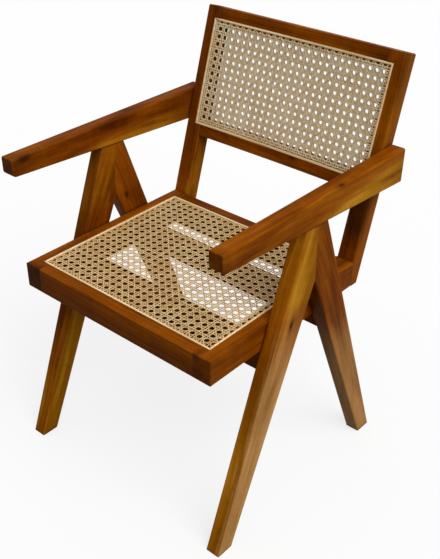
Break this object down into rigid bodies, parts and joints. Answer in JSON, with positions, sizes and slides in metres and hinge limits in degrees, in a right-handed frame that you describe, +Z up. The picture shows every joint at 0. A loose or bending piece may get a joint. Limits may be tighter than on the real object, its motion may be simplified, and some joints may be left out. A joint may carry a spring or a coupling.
{
  "type": "armchair",
  "caption": "Wooden armchair on inverted V side frames, with a woven cane seat, a leaning double cane back and level armrests.",
  "frame": {"origin": "on the floor, at the middle of the chair's box", "axes": "+Z up, -Y the chair's front, +X on the viewer's right when facing the front"},
  "size_m": [0.524, 0.5721, 0.7995],
  "materials": {
    "frame_wood": "oiled, satin, with visible grain",
    "tenon_wood": "bare, sawn",
    "cane": "natural split cane with its smooth skin outside",
    "reed_spline": "natural reed, matt"
  },
  "bodies": {
    "root": {"seat_front_rail": "frame_wood", "seat_rear_rail": "frame_wood", "seat_side_rail_left": "frame_wood", "seat_side_rail_right": "frame_wood", "front_leg_left": "frame_wood", "front_leg_right": "frame_wood", "rear_leg_left": "frame_wood", "rear_leg_right": "frame_wood", "front_cross_rail": "frame_wood", "rear_cross_rail": "frame_wood", "armrest_left": "frame_wood", "armrest_right": "frame_wood", "back_post_left": "frame_wood", "back_post_right": "frame_wood", "back_top_rail": "frame_wood", "back_bottom_rail": "frame_wood", "seat_leg_tenons": "tenon_wood", "arm_leg_tenons": "tenon_wood", "leg_mitre_tenons": "tenon_wood", "arm_post_tenons": "tenon_wood", "seat_post_tenons": "tenon_wood", "seat_cane": "cane", "back_cane_front": "cane", "back_cane_rear": "cane", "seat_cane_bead": "reed_spline", "back_cane_front_bead": "reed_spline", "back_cane_rear_bead": "reed_spline"}
  },
  "joints": []
}
